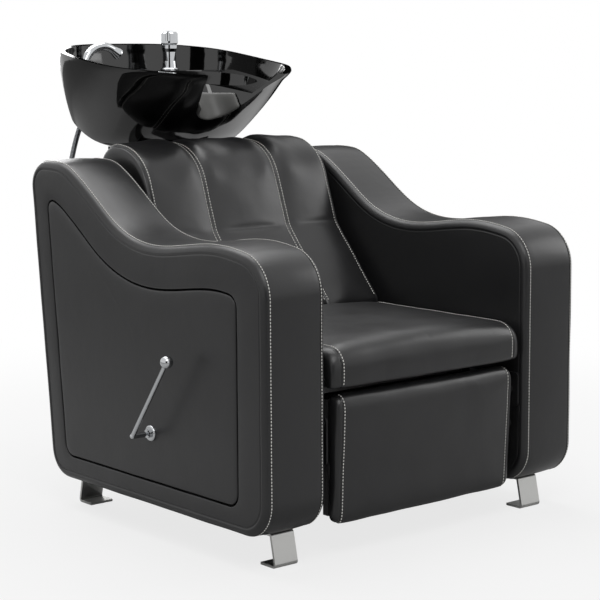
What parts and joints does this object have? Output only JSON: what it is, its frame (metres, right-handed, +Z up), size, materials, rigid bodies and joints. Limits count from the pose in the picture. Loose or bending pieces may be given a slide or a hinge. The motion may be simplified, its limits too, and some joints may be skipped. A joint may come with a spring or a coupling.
{
  "type": "salon hair washing bed",
  "caption": "Upholstered salon wash seat between two S-shaped arms, with a lever-raised leg rest and a tilting basin with a neck notch, tap and hand shower.",
  "frame": {"origin": "on the floor, at the middle of the bounding box of the whole unit", "axes": "+Z up; the seat faces -Y, the basin is at +Y; the sitter's right hand, with the lever, is at -X"},
  "size_m": [0.8785, 1.0429, 0.9953],
  "materials": {
    "leatherette": "charcoal black leatherette cover, semi-gloss with a fine grain, over foam and board",
    "board": "plywood backed with black lining cloth",
    "satin_steel": "satin stainless steel flat bar",
    "frame_paint": "black powder coat on steel",
    "nylon": "plain nylon bush",
    "zinc": "bright zinc plated steel",
    "chrome": "polished chrome plate",
    "glazed_black": "gloss black glaze",
    "grey_rubber": "soft grey rubber, satin",
    "hose_steel": "rubber hose in a bright steel braid",
    "black_plastic": "black moulded plastic handle"
  },
  "bodies": {
    "chair": {"arm_left_body": "leatherette", "arm_right_body": "leatherette", "arm_left_side_panel": "leatherette", "arm_right_side_panel": "leatherette", "arm_left_base_board": "board", "arm_right_base_board": "board", "foot_front_left": "satin_steel", "foot_front_right": "satin_steel", "foot_rear_left": "satin_steel", "foot_rear_right": "satin_steel", "screws": "zinc", "seat_tube_front": "frame_paint", "seat_tube_rear": "frame_paint", "base_tube_front": "frame_paint", "base_tube_rear": "frame_paint", "seat_rail_left": "frame_paint", "seat_rail_right": "frame_paint", "back_post_left": "frame_paint", "back_post_right": "frame_paint", "seat_board": "board", "seat_cushion": "leatherette", "back_board": "board", "back_cushion": "leatherette", "rear_panel": "board", "leg_rest_hanger_left": "frame_paint", "leg_rest_hanger_right": "frame_paint", "shaft_bush_left": "nylon", "shaft_bush_right": "nylon", "lever_escutcheon": "chrome", "stand_rail_left": "frame_paint", "stand_rail_right": "frame_paint", "stand_post_left": "frame_paint", "stand_post_right": "frame_paint", "stand_head": "frame_paint", "tilt_pin": "zinc"},
    "leg_rest": {"leg_rest_cushion": "leatherette", "leg_rest_board": "board", "leg_rest_bracket_left": "frame_paint", "leg_rest_bracket_right": "frame_paint"},
    "lever": {"cross_shaft": "zinc", "lever_arm": "chrome", "lever_knob": "chrome", "crank_left": "frame_paint", "crank_right": "frame_paint"},
    "link_rods": {"link_rod_left": "frame_paint", "link_rod_right": "frame_paint"},
    "basin_unit": {"basin_cradle": "frame_paint", "basin": "glazed_black", "neck_rest": "grey_rubber", "drain_outlet": "chrome", "tap_body": "chrome", "deck_nuts": "zinc", "shower_holder": "chrome", "shower_hose": "hose_steel"},
    "tap_spindle": {"tap_spindle": "chrome"},
    "tap_knob": {"tap_knob": "chrome"},
    "hand_shower": {"hand_shower": "chrome"},
    "drain_strainer": {"drain_strainer": "chrome"},
    "tilt_clamp": {"tilt_clamp": "black_plastic"}
  },
  "joints": [
    {"name": "leg_rest_swing", "type": "hinge", "parent": "chair", "child": "leg_rest", "pos_m": [0.028, -0.4775, 0.262], "axis": [-1, 0, 0], "range_deg": [0, 80]},
    {"name": "lever_turn", "type": "hinge", "parent": "chair", "child": "lever", "pos_m": [0.028, -0.1595, 0.214], "axis": [-1, 0, 0], "range_deg": [0, 80]},
    {"name": "link_rod_turn", "type": "hinge", "parent": "lever", "child": "link_rods", "pos_m": [0.028, -0.1595, 0.144], "axis": [-1, 0, 0], "range_deg": [-80, 0]},
    {"name": "basin_tilt", "type": "hinge", "parent": "chair", "child": "basin_unit", "pos_m": [0.028, 0.3815, 0.705], "axis": [-1, 0, 0], "range_deg": [0, 12]},
    {"name": "tap_lift", "type": "slide", "parent": "basin_unit", "child": "tap_spindle", "axis": [0, 0, 1], "range_m": [0, 0.006]},
    {"name": "tap_turn", "type": "hinge", "parent": "tap_spindle", "child": "tap_knob", "pos_m": [0.102, 0.4365, 0.97], "axis": [0, 0, 1], "range_deg": [-60, 60]},
    {"name": "shower_lift", "type": "slide", "parent": "basin_unit", "child": "hand_shower", "axis": [0, 0, 1], "range_m": [0, 0.12]},
    {"name": "strainer_lift", "type": "slide", "parent": "basin_unit", "child": "drain_strainer", "axis": [0, 0, 1], "range_m": [0, 0.06]},
    {"name": "clamp_turn", "type": "hinge", "parent": "chair", "child": "tilt_clamp", "pos_m": [-0.048, 0.3815, 0.705], "axis": [1, 0, 0], "range_deg": [-30, 75]}
  ],
  "couplings": [
    {"joint": "lever_turn", "follows": "leg_rest_swing", "ratio": 1},
    {"joint": "link_rod_turn", "follows": "leg_rest_swing", "ratio": -1}
  ]
}
